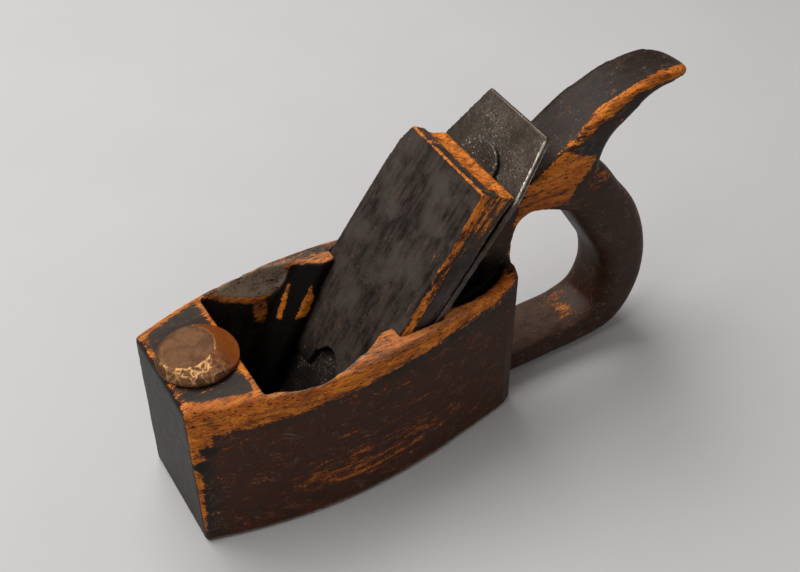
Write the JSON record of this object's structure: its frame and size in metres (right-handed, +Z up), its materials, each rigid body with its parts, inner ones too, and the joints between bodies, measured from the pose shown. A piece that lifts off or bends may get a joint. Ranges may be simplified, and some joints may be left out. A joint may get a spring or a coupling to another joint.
{
  "type": "hand plane",
  "caption": "Small coffin-shaped wooden smoothing plane with a carved horn and closed loop handle, wedged double iron and brass strike button.",
  "frame": {"origin": "on the sole plane, under the middle of the overall length and width", "axes": "+X towards the toe, the way the plane is pushed; +Y to the user's left; +Z up from the sole"},
  "size_m": [0.203, 0.0608, 0.1171],
  "materials": {
    "stock_wood": "dark worn hardwood, rubbed to bare orange wood at the edges",
    "wedge_wood": "grey-black satin hardwood, orange at the rubbed edges",
    "iron_steel": "brown pitted steel with bright worn edges",
    "cap_steel": "dull brown steel",
    "nut_brass": "dull brass",
    "screw_steel": "dull brown steel",
    "button_brass": "hammered brown brass"
  },
  "bodies": {
    "body": {"stock": "stock_wood", "strike_button": "button_brass"},
    "wedge": {"wedge": "wedge_wood"},
    "iron": {"cutting_iron": "iron_steel"},
    "cap": {"cap_iron": "cap_steel", "cap_iron_nut": "nut_brass"},
    "screw": {"cap_screw": "screw_steel"}
  },
  "joints": [
    {"name": "wedge_slide", "type": "slide", "parent": "body", "child": "wedge", "axis": [-0.5864, 0, 0.81], "range_m": [0, 0.075]},
    {"name": "iron_slide", "type": "slide", "parent": "body", "child": "iron", "axis": [-0.6561, 0, 0.7547], "range_m": [-0.001, 0.01]},
    {"name": "cap_iron_slide", "type": "slide", "parent": "iron", "child": "cap", "axis": [-0.6561, 0, 0.7547], "range_m": [0, 0.005]},
    {"name": "cap_screw_turn", "type": "hinge", "parent": "cap", "child": "screw", "pos_m": [0.02768, 0, 0.0474], "axis": [-0.7547, 0, -0.6561], "range_deg": [0, 360]}
  ]
}
